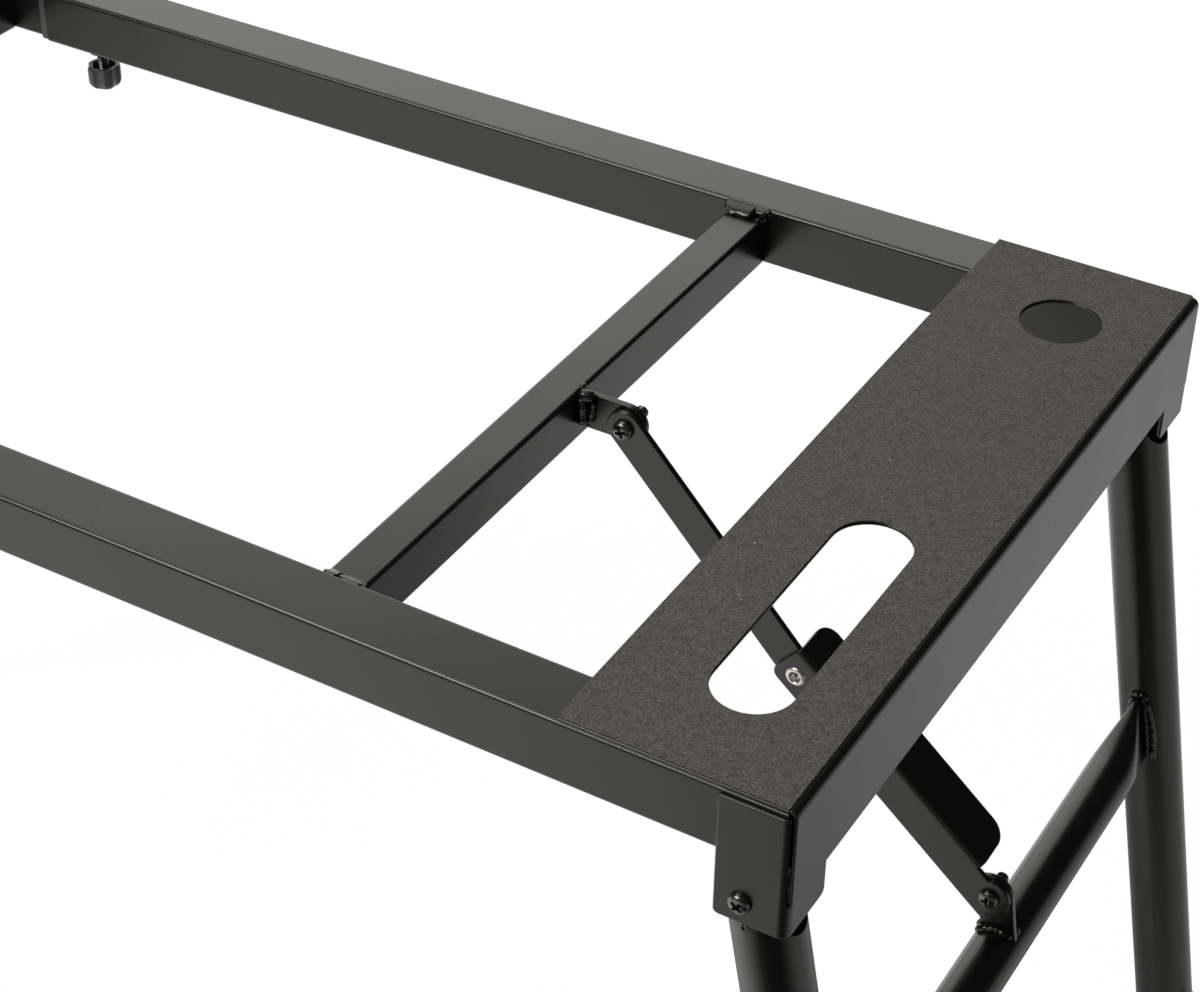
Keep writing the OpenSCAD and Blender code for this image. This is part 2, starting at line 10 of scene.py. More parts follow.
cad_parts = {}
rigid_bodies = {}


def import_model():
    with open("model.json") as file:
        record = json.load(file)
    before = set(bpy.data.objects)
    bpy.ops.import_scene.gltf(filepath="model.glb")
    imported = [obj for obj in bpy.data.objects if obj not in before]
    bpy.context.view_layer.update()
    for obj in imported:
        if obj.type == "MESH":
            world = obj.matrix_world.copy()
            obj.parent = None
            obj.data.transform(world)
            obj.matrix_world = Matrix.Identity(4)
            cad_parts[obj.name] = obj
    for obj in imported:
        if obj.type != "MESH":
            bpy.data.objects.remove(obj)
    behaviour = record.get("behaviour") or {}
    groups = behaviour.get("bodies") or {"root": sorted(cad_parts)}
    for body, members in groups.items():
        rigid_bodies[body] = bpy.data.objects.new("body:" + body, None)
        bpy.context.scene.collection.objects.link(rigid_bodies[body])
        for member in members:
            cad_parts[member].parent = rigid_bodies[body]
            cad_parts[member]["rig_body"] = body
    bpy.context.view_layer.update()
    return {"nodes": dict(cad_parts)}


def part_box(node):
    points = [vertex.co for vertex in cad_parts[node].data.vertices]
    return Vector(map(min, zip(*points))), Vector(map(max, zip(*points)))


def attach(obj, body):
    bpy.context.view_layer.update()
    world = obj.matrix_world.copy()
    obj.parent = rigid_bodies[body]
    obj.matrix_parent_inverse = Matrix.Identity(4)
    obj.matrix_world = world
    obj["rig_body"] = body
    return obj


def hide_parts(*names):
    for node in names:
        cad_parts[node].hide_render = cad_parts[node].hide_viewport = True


bl_info = {
    "name": "Keyboard stand",
    "version": (1, 0, 0),
    "blender": (4, 5, 0),
    "location": "3D View > Sidebar > Stand",
    "description": "Dresses the keyboard stand: coated steel, grip sheets, welds, screws and mouldings",
    "category": "Object",
}

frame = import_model()

ENDS = ("right", "left")
SIDES = ("front", "rear")
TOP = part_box("grip_sheet_right")[1].z       # height of the grip sheets, in metres
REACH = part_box("end_plate_right")[1].x      # half the length over the end plates, in metres


# Sizes and colours

def length(name, default, description):
    """A size in metres."""
    return FloatProperty(name=name, default=default, description=description, min=0.0, unit="LENGTH",
                         subtype="DISTANCE", precision=5)


def tone(name, default, description):
    """A colour in linear light."""
    return FloatVectorProperty(name=name, default=default, description=description, size=3, min=0.0, max=1.0,
                               subtype="COLOR")


def radiance(name, default, description):
    """How bright a lamp looks, where 1 is white."""
    return FloatProperty(name=name, default=default, description=description, min=0.0)


class StandFinishes(bpy.types.PropertyGroup):
    """Colours and gloss of the finishes"""
    coat: tone("Powder coat", (0.0054, 0.0052, 0.0049), "Satin black powder coat on the steel")
    coat_gloss: FloatProperty(name="Coat roughness", default=0.28, min=0.0, max=1.0, subtype="FACTOR",
                              description="Roughness of the powder coat")
    grip_dark: tone("Grip, dark grains", (0.030, 0.0285, 0.0245), "Darkest grains of the grip sheets")
    grip_pale: tone("Grip, pale grains", (0.105, 0.101, 0.090), "Palest grains of the grip sheets")
    screw: tone("Black nickel", (0.13, 0.125, 0.12), "Plating of the screws and nuts")
    rivet: tone("Zinc", (0.62, 0.58, 0.54), "Plating of the rivets")
    plastic: tone("Black plastic", (0.042, 0.041, 0.040), "Moulded knobs and collars")
    rubber: tone("Rubber", (0.022, 0.022, 0.023), "Feet")


class StandSizes(bpy.types.PropertyGroup):
    """Sizes of the small forms that the looks add"""
    edge: length("Sheet edge", 0.0006, "Rounding on the cut edges of sheet steel")
    plate_edge: length("Plate edge", 0.00094, "Rounding on the cut edges of the end plates")
    grip_edge: length("Grip edge", 0.00025, "Rounding on the edges of the grip sheets")
    mouth_edge: length("Mouth edge", 0.0004, "Rounding on the collars in the rails' mouths")
    collar_edge: length("Collar edge", 0.0008, "Rounding on the legs' collars")
    bead: length("Weld bead", 0.0021, "Radius of the weld beads")
    thread: length("Thread depth", 0.00035, "Depth of the screw threads")
    pitch: length("Thread pitch", 0.001, "Pitch of the screw threads")
    flutes: IntProperty(name="Flutes", default=5, min=3, max=12, description="Flutes round a clamping knob")


class StandStage(bpy.types.PropertyGroup):
    """Camera and light"""
    camera: FloatVectorProperty(name="Camera", default=(0.73694, -0.82532, 1.33796), size=3, unit="LENGTH",
                                description="Place of the camera")
    turn: FloatVectorProperty(name="Camera turn", size=3, subtype="EULER",
                              default=tuple(math.radians(a) for a in (53.7179, -0.6034, 30.7068)),
                              description="Rotation of the camera")
    lens: FloatProperty(name="Lens", default=79.512, min=1.0, unit="CAMERA",
                        description="Focal length on a 36 mm sensor, in mm")
    floor: tone("Floor", (0.83, 0.83, 0.83), "Pale studio floor")
    back_light: radiance("Back light", 1.38, "Radiance of the large soft box")
    side_light: radiance("Side light", 8.0, "Radiance of the small soft box")
    top_light: radiance("Top light", 1.8, "Radiance of the soft box overhead")


def sizes():
    """The sizes set in the panel, in metres."""
    return bpy.context.scene.stand_sizes


# Places, in millimetres in an end's own frame: x is 0 at the flange and negative inwards, z is 0 on the
# grip sheet and negative downwards, and y is 0 in the middle. The leg's frame hangs from the hinge, along
# the legs.

MM = 0.001
LEG_Y = 185                                 # rails, legs and their knobs, from the middle
HINGE_X, HINGE_Z = -19.5, -51.8             # the legs' hinge line
LEG = Matrix.Translation((HINGE_X, 0, HINGE_Z)) @ Matrix.Rotation(math.radians(-10.5), 4, "Y")
TUBE_X, TUBE_Z = 0.8, -182.4                # the cross tube's axis in the leg's frame
LINK_X, LINK_Z = -183.5, -18                # the brace's pivot at the crossbar
KNEE_X, KNEE_Z = -92.6, -115.8              # the brace's knee
BRACE_FOOT = LEG @ Vector((1.2, 0, -150))   # the brace's pivot at the cross tube
CLAMP_X = -631.2                            # the knobs under the rails
BAR_STEP = {"right": 0.0, "left": 1.5}      # how much higher and longer the crossbar is
TO_FRONT = Matrix.Rotation(math.pi / 2, 4, "X")
TO_REAR = Matrix.Rotation(-math.pi / 2, 4, "X")
HERE = Matrix()
FLIP = Matrix.Scale(-1, 4, (0, 1, 0))


def place(end, side=None):
    """From an end's own frame in millimetres to the stand. The left end is the right one turned half round.
    With a side, negative y points to that side."""
    matrix = Matrix.Translation((REACH, 0, TOP)) @ Matrix.Scale(MM, 4)
    if side and (side == "rear") != (end == "left"):
        matrix = matrix @ FLIP
    if end == "left":
        matrix = Matrix.Rotation(math.pi, 4, "Z") @ matrix
    return matrix


def moved(x, y, z):
    """The matrix of a move."""
    return Matrix.Translation((x, y, z))


def frame_body(end):
    """The body of an end's frame."""
    return end + "_frame"


# Meshes

CREASE, CAD_CREASE, WELD_CREASE = 35, 50, 60    # edges sharper than this, in degrees, stay edges


def angles(steps):
    """Equal steps round a circle, in radians."""
    return [2 * math.pi * i / steps for i in range(steps)]


def polar(r, a, z):
    """A point at a radius and an angle about Z."""
    return r * math.cos(a), r * math.sin(a), z


def grid(rings, looped=False):
    """A mesh through rings of equally many points. Rings of no size close on themselves."""
    bm = bmesh.new()
    rows = [[bm.verts.new(p) for p in ring] for ring in rings]
    for low, high in list(zip(rows, rows[1:])) + ([(rows[-1], rows[0])] if looped else []):
        for i in range(len(low)):
            j = (i + 1) % len(low)
            bm.faces.new((low[i], low[j], high[j], high[i]))
    if not looped:
        bm.faces.new(rows[0][::-1])
        bm.faces.new(rows[-1])
    bmesh.ops.remove_doubles(bm, verts=bm.verts, dist=1e-6)
    bmesh.ops.recalc_face_normals(bm, faces=bm.faces)
    return bm


def turned(profile, steps):
    """A solid of revolution about Z. The profile holds (radius, height) along the outline."""
    return grid([[polar(r, a, z) for a in angles(steps)] for r, z in profile])


def joined(*parts):
    """One mesh of several, each given as (mesh, matrix)."""
    whole = bmesh.new()
    for bm, matrix in parts:
        bm.transform(matrix)
        mesh = bpy.data.meshes.new("part")
        bm.to_mesh(mesh)
        bm.free()
        whole.from_mesh(mesh)
        bpy.data.meshes.remove(mesh)
    return whole


def piece(name, bm, matrix, body, finish, replaces=(), crease=CREASE):
    """Turns a mesh into an object that rides on a body, and stands for the CAD nodes named."""
    bm.transform(matrix)
    bmesh.ops.recalc_face_normals(bm, faces=bm.faces)
    mesh = bpy.data.meshes.new(name)
    bm.to_mesh(mesh)
    bm.free()
    mesh.shade_smooth()
    mesh.set_sharp_from_angle(angle=math.radians(crease))
    mesh.materials.append(finish)
    made = bpy.data.objects.new(name, mesh)
    bpy.context.scene.collection.objects.link(made)
    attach(made, body)
    if replaces:
        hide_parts(*replaces)
    return made


def settled(made):
    """Applies an object's modifiers to its mesh."""
    bpy.context.view_layer.update()
    shape = made.evaluated_get(bpy.context.evaluated_depsgraph_get())
    mesh = bpy.data.meshes.new_from_object(shape)
    made.modifiers.clear()
    made.data = mesh
    return made


def softened(node, finish, edge, segments=3):
    """A copy of a CAD node whose sharp edges are rounded, as sheet steel is under its coat, wherever the
    faces beside them are wide enough. Its flat faces stay flat in the light."""
    same_point, flat, room = 2e-6, math.radians(0.4), 2.1 * edge
    source = frame["nodes"][node]
    bm = bmesh.new()
    bm.from_mesh(source.data)
    bmesh.ops.remove_doubles(bm, verts=bm.verts, dist=same_point)
    bmesh.ops.dissolve_limit(bm, angle_limit=flat, verts=bm.verts, edges=bm.edges)
    plain = bmesh.new()
    twin = {v: plain.verts.new(v.co) for v in bm.verts}
    for face in bm.faces:
        plain.faces.new([twin[v] for v in face.verts])
    bm.free()
    plain.normal_update()
    sharp = [e for e in plain.edges if e.calc_face_angle(0) > math.radians(CAD_CREASE) and roomy(e, room)]
    bmesh.ops.bevel(plain, geom=sharp, offset=edge, segments=segments, profile=0.5, affect="EDGES")
    made = piece(node + ".coated", plain, HERE, source["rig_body"], finish, (node,), CAD_CREASE)
    even = made.modifiers.new("Even shading", "WEIGHTED_NORMAL")
    even.weight = 90
    even.keep_sharp = True
    return settled(made)


def roomy(edge, width):
    """Whether both faces beside an edge reach at least this far from it."""
    start = edge.verts[0].co
    along = (edge.verts[1].co - start).normalized()
    return all(max((v.co - start).cross(along).length for v in face.verts) > width
               for face in edge.link_faces)


def lowered(made, matrix, above, drop):
    """Brings the part of a mesh that lies above a height of a frame down by so much along the frame's Z."""
    back = matrix.inverted()
    for vertex in made.data.vertices:
        spot = back @ vertex.co
        if spot.z > above:
            vertex.co = matrix @ (spot - Vector((0, 0, drop)))


def carved(body, tool):
    """What is left of a mesh when a tool mesh is taken away."""
    holders = []
    for name, bm in (("head", body), ("cutter", tool)):
        holder = bpy.data.objects.new(name, bpy.data.meshes.new(name))
        bm.to_mesh(holder.data)
        bm.free()
        bpy.context.scene.collection.objects.link(holder)
        holders.append(holder)
    cut = holders[0].modifiers.new("Cut", "BOOLEAN")
    cut.object = holders[1]
    cut.solver = "EXACT"
    left = bmesh.new()
    left.from_mesh(settled(holders[0]).data)
    for holder in holders:
        bpy.data.objects.remove(holder)
    return left


# Finishes

class Value:
    """A number in a material: a socket that takes part in sums."""

    def __init__(self, finish, socket):
        self.finish = finish
        self.socket = socket

    def maths(self, operation, first, second):
        return self.finish.node("ShaderNodeMath", {"operation": operation}, {0: first, 1: second})

    def __add__(self, other):
        return self.maths("ADD", self, other)

    def __radd__(self, other):
        return self.maths("ADD", other, self)

    def __sub__(self, other):
        return self.maths("SUBTRACT", self, other)

    def __rsub__(self, other):
        return self.maths("SUBTRACT", other, self)

    def __mul__(self, other):
        return self.maths("MULTIPLY", self, other)

    def __rmul__(self, other):
        return self.maths("MULTIPLY", other, self)

    def __lt__(self, other):
        return self.maths("LESS_THAN", self, other)

    def __gt__(self, other):
        return self.maths("GREATER_THAN", self, other)


class Finish:
    """A material that is built from nodes."""

    MIX_SHARE, MIX_LOW, MIX_HIGH, MIX_COLOUR = 0, 6, 7, 2   # the Mix node's sockets for colours

    def __init__(self, name, tree=None):
        """Starts a new material, or empties the node tree given."""
        if tree is None:
            self.material = bpy.data.materials.new(name)
            self.material.use_nodes = True
            tree = self.material.node_tree
        self.tree = tree
        self.tree.nodes.clear()

    def node(self, kind, settings=None, inputs=None, output=0):
        """Makes a node: its settings first, then the values or links of its sockets."""
        made = self.tree.nodes.new(kind)
        for key, value in (settings or {}).items():
            if key == "stops":
                self.stops(made.color_ramp.elements, value)
            else:
                setattr(made, key, value)
        for key, value in (inputs or {}).items():
            if isinstance(value, Value):
                self.tree.links.new(value.socket, made.inputs[key])
            else:
                made.inputs[key].default_value = value
        return Value(self, made.outputs[output]) if made.outputs else None

    @staticmethod
    def stops(elements, stops):
        """Sets a ramp's stops, given as (position, grey or colour) from left to right."""
        for element, (position, _) in zip((elements[0], elements[-1]), (stops[0], stops[-1])):
            element.position = position
        for position, _ in stops[1:-1]:
            elements.new(position)
        for element, (_, shade) in zip(elements, stops):
            element.color = (*shade, 1.0) if hasattr(shade, "__len__") else (shade, shade, shade, 1.0)

    def spot(self):
        """The place on the piece, in metres."""
        return self.node("ShaderNodeTexCoord", output="Object")

    def stretched(self, x, y, z):
        """The place on the piece, stretched along its axes."""
        return self.node("ShaderNodeVectorMath", {"operation": "MULTIPLY"}, {0: self.spot(), 1: (x, y, z)})

    def noise(self, size, detail, roughness, at=None):
        """Cloudy noise between 0 and 1 with spots of about this size in metres."""
        return self.node("ShaderNodeTexNoise", None, {"Vector": at or self.spot(), "Scale": 1 / size,
                                                     "Detail": detail, "Roughness": roughness})

    def cells(self, size, output="Distance"):
        """Grains of about this size in metres."""
        return self.node("ShaderNodeTexVoronoi", None, {"Vector": self.spot(), "Scale": 1 / size}, output)

    def mix(self, share, low, high, blend="MIX"):
        """A colour between two, or one of them blended over the other."""
        low, high = (c if isinstance(c, Value) else (*c, 1.0) for c in (low, high))
        return self.node("ShaderNodeMix", {"data_type": "RGBA", "blend_type": blend},
                         {self.MIX_SHARE: share, self.MIX_LOW: low, self.MIX_HIGH: high}, self.MIX_COLOUR)

    def ramp(self, value, stops):
        """The grey or colour that the stops give for a value."""
        return self.node("ShaderNodeValToRGB", {"stops": stops}, {"Fac": value})

    def fade(self, value, start, stop, low, high):
        """Runs smoothly from low to high while the value runs from start to stop."""
        return self.node("ShaderNodeMapRange", {"interpolation_type": "SMOOTHSTEP"},
                         {"Value": value, "From Min": start, "From Max": stop, "To Min": low, "To Max": high})

    def distance(self, spot, point):
        """How far a spot is from a point, in metres."""
        return self.node("ShaderNodeVectorMath", {"operation": "DISTANCE"}, {0: spot, 1: point}, "Value")

    def ray(self, kind):
        """1 where a ray of this kind looks, else 0."""
        return self.node("ShaderNodeLightPath", output=f"Is {kind} Ray")

    def bump(self, height, depth, strength=1.0):
        """A surface that is up to depth metres high where height is 1."""
        return self.node("ShaderNodeBump", None, {"Height": height, "Distance": depth, "Strength": strength})

    def surface(self, sockets):
        """Closes the material with a surface of these sockets."""
        shader = self.node("ShaderNodeBsdfPrincipled", None, sockets)
        self.node("ShaderNodeOutputMaterial", None, {"Surface": shader})
        return self.material


def scaled(colour, factor):
    """A colour that is brighter by a factor, 1 at most."""
    return tuple(min(1.0, c * factor) for c in colour)


def coat_finish(name, colour, gloss, relief):
    """Satin powder coat: a faint orange peel, slightly uneven in gloss and tone."""
    made = Finish(name)
    peel = made.noise(0.0016, detail=2.0, roughness=0.45)
    broad = made.noise(0.045, detail=3.0, roughness=0.55)
    roughness = gloss + (broad - 0.5) * 0.07 + (peel - 0.5) * 0.05
    tint = made.mix(broad, scaled(colour, 0.8), scaled(colour, 1.25))
    return made.surface({"Base Color": tint, "Roughness": roughness, "IOR": 1.5,
                         "Specular Tint": (1.0, 0.98, 0.915, 1.0), "Normal": made.bump(peel, relief)})


def grip_finish(name, dark, pale):
    """Fine mineral grit on the grip sheets, salt and pepper with a warm cast and a few bright grains."""
    made = Finish(name)
    grit = made.noise(0.00085, detail=1.5, roughness=0.55)
    patches = made.noise(0.0045, detail=2.0, roughness=0.5)
    cast = made.noise(0.0014, detail=1.0, roughness=0.5, at=made.stretched(1.0, 1.0, 0.3))
    shade = made.ramp(grit + (patches - 0.5) * 0.16, [(0.30, dark), (0.50, scaled(pale, 0.6)), (0.70, pale)])
    cool, warm = (0.86, 0.96, 1.09), (1.17, 1.0, 0.86)
    tint = made.mix(1.0, shade, made.mix(cast, cool, warm), "MULTIPLY")
    rare = made.node("ShaderNodeSeparateColor", None, {0: made.cells(0.0021, "Color")}) > 0.997
    fleck = (made.cells(0.0021) < 0.16) * rare
    return made.surface({"Base Color": made.mix(fleck, tint, (0.52, 0.5, 0.47)),
                         "Roughness": 0.86 - grit * 0.22, "Normal": made.bump(grit, 0.00022, 0.8)})


def plated_finish(name, colour, gloss, wear):
    """Plated steel with fine turned marks."""
    made = Finish(name)
    marks = made.noise(0.0006, detail=3.0, roughness=0.6, at=made.stretched(1.0, 1.0, 3.5))
    cloud = made.noise(0.004, detail=2.0, roughness=0.5)
    tint = made.mix(cloud, scaled(colour, 1 - wear), scaled(colour, 1 + wear))
    return made.surface({"Base Color": tint, "Metallic": 1.0 - cloud * 0.12,
                         "Roughness": gloss + (marks - 0.5) * 0.16, "Normal": made.bump(marks, 0.00001)})


def plastic_finish(name, colour):
    """Moulded plastic with a fine spark-eroded grain."""
    made = Finish(name)
    grain = made.cells(0.0005)
    cloud = made.noise(0.012, detail=2.0, roughness=0.5)
    tint = made.mix(cloud, scaled(colour, 0.85), scaled(colour, 1.3))
    return made.surface({"Base Color": tint, "Roughness": 0.44 + (cloud - 0.5) * 0.1,
                         "Normal": made.bump(grain, 0.00003, 0.7)})


def rubber_finish(name, colour):
    """Matt rubber with a little dust."""
    made = Finish(name)
    dust = made.noise(0.006, detail=4.0, roughness=0.6)
    grain = made.noise(0.0009, detail=2.0, roughness=0.5)
    tint = made.mix(made.ramp(dust, [(0.45, 0.0), (0.75, 0.5)]), colour, scaled(colour, 2.6))
    return made.surface({"Base Color": tint, "Roughness": 0.78 + (dust - 0.5) * 0.18,
                         "Normal": made.bump(grain, 0.00006, 0.6)})


def finishes():
    """The materials, made once and then looked up by name. None has the name of a CAD material."""
    tones = bpy.context.scene.stand_finishes
    makers = {
        "satin_coat": lambda n: coat_finish(n, tones.coat, tones.coat_gloss, 0.000012),
        "weld_coat": lambda n: coat_finish(n, tones.coat, tones.coat_gloss * 0.85, 0.00001),
        "grip_grit": lambda n: grip_finish(n, tones.grip_dark, tones.grip_pale),
        "black_nickel": lambda n: plated_finish(n, tones.screw, 0.26, 0.2),
        "bright_zinc": lambda n: plated_finish(n, tones.rivet, 0.3, 0.12),
        "moulding": lambda n: plastic_finish(n, tones.plastic),
        "rubber": lambda n: rubber_finish(n, tones.rubber),
    }
    for name, make in makers.items():
        if name not in bpy.data.materials:
            make(name)
    return bpy.data.materials


def dress(node, finish):
    """Gives a CAD node that stays its finish."""
    materials = frame["nodes"][node].data.materials
    materials.clear()
    materials.append(finish)


# Screws, nuts and rivets, in millimetres

SHANK_RADIUS, THREAD_RADIUS = 2.9, 3.0


def shank(start, stop):
    """A plain shank along Z."""
    return turned([(SHANK_RADIUS, start), (SHANK_RADIUS, stop)], 32)


def thread(start, stop):
    """A threaded shank along Z with a rounded tip at stop."""
    depth, pitch = sizes().thread / MM, sizes().pitch / MM
    rings_a_turn, steps, point = 7, 28, 0.9
    count = max(2, round(abs(stop - start) / (pitch / rings_a_turn)))
    rings = []
    for i in range(count + 1):
        z = start + (stop - start) * i / count
        crest = THREAD_RADIUS - max(0.0, point - abs(stop - z)) ** 1.5 * point
        rings.append([polar(crest - depth * wave(z / pitch - a / (2 * math.pi)), a, z)
                      for a in angles(steps)])
    return grid(rings)


def wave(turns):
    """A rounded saw between 0 and 1."""
    return 0.5 - 0.5 * math.cos(2 * math.pi * turns)


def screw_head(turn):
    """A pan head on Z = 0 with a deep cross recess."""
    radius, height, rim, rows = 4.7, 3.3, 0.9, 10
    dome = [(0, 0), (radius - 0.25, 0), (radius, 0.25)]
    for i in range(rows + 1):
        r = radius * (1 - i / rows)
        dome.append((r, rim + (height - rim) * (1 - (r / radius) ** 2.7) ** 0.52))
    recess = grid([cross_outline(2.9, 0.85, turn, height + 0.4), cross_outline(2.5, 0.68, turn, 2.2),
                   cross_outline(1.0, 0.35, turn, 0.9)])
    return carved(turned(dome, 64), recess)


def cross_outline(reach, half, turn, z):
    """The twelve corners of a cross."""
    points = []
    for k in range(4):
        a = turn + k * math.pi / 2
        along, across = Vector((math.cos(a), math.sin(a), 0)), Vector((-math.sin(a), math.cos(a), 0))
        points += [along * reach - across * half, along * reach + across * half, (along + across) * half]
    return [p + Vector((0, 0, z)) for p in points]


def screw(long, plain, turn):
    """A screw along -Z under its head: a plain shank, then a thread if it is longer than that."""
    parts = [(screw_head(turn), HERE), (shank(0.2, -plain), HERE)]
    if long > plain:
        parts.append((thread(-plain, -long), HERE))
    return joined(*parts)


def nut():
    """A lock nut from Z = 0 up: a hexagon with turned corners under the ring that locks it."""
    flats, height, side = 5.0, 5.0, math.pi / 3
    levels = [(3.1, 0), (4.9, 0), (5.2, 0.25), (6, 0.7), (6, 2.9), (5.3, 3.3), (4.75, 3.5), (4.55, 3.6),
              (4.5, 4.4), (4.3, 4.8), (3.9, height), (3.3, height), (3.05, height - 0.4), (3.05, 0.4)]
    hexagon = [(a, flats / math.cos((a + side / 2) % side - side / 2)) for a in angles(48)]
    return grid([[polar(min(reach, limit), a, z) for a, reach in hexagon] for limit, z in levels],
                looped=True)


def rivet():
    """A hollow rivet from Z = 0 up, its two ends rolled over."""
    front, bore, lip = 7.9, 2.6, 4.8
    roll = [(bore, front - 0.9), (bore + 0.1, front - 0.35), (bore + 0.45, front - 0.05),
            (bore + 1.0, front), (lip - 0.75, front - 0.12), (lip - 0.25, front - 0.4),
            (lip, front - 0.8), (lip - 0.1, front - 1.0), (3.5, front - 1.0)]
    back = [(r, front - z) for r, z in reversed(roll)]
    return grid([[polar(r, a, z) for a in angles(48)] for r, z in roll + back], looped=True)


def end_screws(end):
    """The screws, nuts and rivet of an end."""
    steel = finishes()["black_nickel"]
    here = place(end)
    body = frame_body(end)
    plate_y, lug_y, link_y, lower_link_y, leg_bracket_y, knee_y = -202, -167, -6.6, -9.1, -6.3, -2.0
    piece(f"link_screw_{end}", screw(long=17.5, plain=10.0, turn=0.35),
          here @ moved(LINK_X, link_y, LINK_Z) @ TO_FRONT, body, steel, (f"link_bolt_{end}",))
    pivots = [(screw(long=42.0, plain=34.0, turn=0.9), flip @ moved(HINGE_X, plate_y, HINGE_Z) @ TO_FRONT)
              for flip in (HERE, FLIP)]
    piece(f"pivot_screws_{end}", joined(*pivots), here, body, steel, (f"pivot_bolts_{end}",))
    nuts = [(nut(), moved(LINK_X, 0, LINK_Z) @ TO_REAR)]
    nuts += [(nut(), flip @ moved(HINGE_X, lug_y, HINGE_Z) @ TO_REAR) for flip in (HERE, FLIP)]
    piece(f"pivot_nuts_{end}", joined(*nuts), here, body, steel, (f"lock_nuts_{end}",))
    piece(f"lower_screw_head_{end}", screw(long=2.5, plain=2.5, turn=0.1),
          here @ moved(BRACE_FOOT.x, lower_link_y, BRACE_FOOT.z) @ TO_FRONT, f"lower_link_{end}", steel,
          (f"lower_screw_{end}",))
    rest = joined((shank(0, -7), HERE), (thread(-7.0, -13.2), HERE),
                  (nut(), moved(0, 0, -3) @ Matrix.Rotation(math.pi, 4, "X")))
    piece(f"lower_screw_end_{end}", rest, here @ moved(BRACE_FOOT.x, leg_bracket_y, BRACE_FOOT.z) @ TO_FRONT,
          f"leg_frame_{end}", steel, (f"lower_pin_{end}",))
    piece(f"knee_rivet_rolled_{end}", rivet(), here @ moved(KNEE_X, knee_y, KNEE_Z) @ TO_FRONT,
          f"lower_link_{end}", finishes()["bright_zinc"], (f"knee_rivet_{end}",))


# Sheets and tubes, in millimetres

def sheet_steel(end):
    """The bent and cut sheet steel of an end, with softened edges under the coat."""
    coat = finishes()["satin_coat"]
    softened(f"end_plate_{end}", coat, sizes().plate_edge, segments=4)
    for node in ("brace_bracket", "pivot_lugs", "upper_link", "lower_link", "leg_bracket"):
        softened(f"{node}_{end}", coat, sizes().edge)


def tubes():
    """The square tubes, the leg tubes and the pressed cross tubes."""
    coat = finishes()["satin_coat"]
    edge = sizes().edge
    for side in SIDES:
        for node in ("outer_rail", "short_rail", "slide_tube"):
            softened(f"{node}_{side}", coat, edge)
        for end in ENDS:
            softened(f"upper_leg_{end}_{side}", coat, edge / 2)
            softened(f"lower_leg_{end}_{side}", coat, edge / 2)
    for end in ENDS:
        softened(f"crossbar_{end}", coat, edge / 2)
        piece(f"cross_tube_{end}", cross_tube(), place(end) @ LEG @ moved(TUBE_X, 0, TUBE_Z),
              f"leg_frame_{end}", coat, (f"leg_cross_tube_{end}",))


def cross_tube():
    """The leg cross tube along Y: round in the middle, pressed flat and upright towards both legs."""
    radius, thin, tall = 12.0, 2.0, 18.85
    straight, flat, tip, rows = 125.25, 164.5, 170.9, 14
    stations = [-tip, -flat] + [-flat + (flat - straight) * i / rows for i in range(1, rows + 1)]
    stations += [-100, -50, 0]
    stations += [-y for y in reversed(stations[:-1])]
    rings = []
    for y in stations:
        share = max(0.0, min(1.0, (abs(y) - straight) / (flat - straight)))
        share = share * share * (1.6 - 0.6 * share) if share < 1 else 1.0
        half = radius + (tall - radius) * share
        thick = radius + (thin - radius) * share
        ring = []
        for a in angles(48):
            lift = (half - thick) * (1 if math.sin(a + 1e-9) > 0 else -1)
            ring.append((thick * math.cos(a), y, thick * math.sin(a) + lift))
        rings.append(ring)
    return grid(rings)


# Knobs, collars and feet, in millimetres

def mouldings():
    """Collars, knobs and feet."""
    plastic, rubber = (finishes()[n] for n in ("moulding", "rubber"))
    softened("mouth_collars", plastic, sizes().mouth_edge)
    for side in SIDES:
        under = moved(CLAMP_X, -LEG_Y, -46.2)
        clamp(f"rail_knob_{side}", f"clamp_knob_{side}", place("right", side) @ under,
              f"clamp_knob_{side}", stud=14.7)
    for end in ENDS:
        collars = softened(f"leg_collars_{end}", plastic, sizes().collar_edge)
        lowered(collars, place(end) @ LEG, above=-376, drop=5)
        for side in SIDES:
            beside = moved(24.5, -LEG_Y, -388) @ Matrix.Rotation(-math.pi / 2, 4, "Y")
            clamp(f"height_knob_{end}_{side}", f"leg_knob_{end}_{side}", place(end, side) @ LEG @ beside,
                  f"leg_knob_{end}_{side}", stud=11.45)
            piece(f"rubber_foot_{end}_{side}", foot(), place(end, side), f"lower_leg_{end}_{side}", rubber,
                  (f"foot_{end}_{side}",))


def clamp(name, node, spot, body, stud):
    """A knob and its screw in place of a CAD node. The screw stands up by stud."""
    piece(name, knob(), spot, body, finishes()["moulding"], (node,))
    piece(name + ".screw", thread(-WELL, stud), spot, body, finishes()["black_nickel"])


WELL = 5.4      # depth of the recess in a knob's top


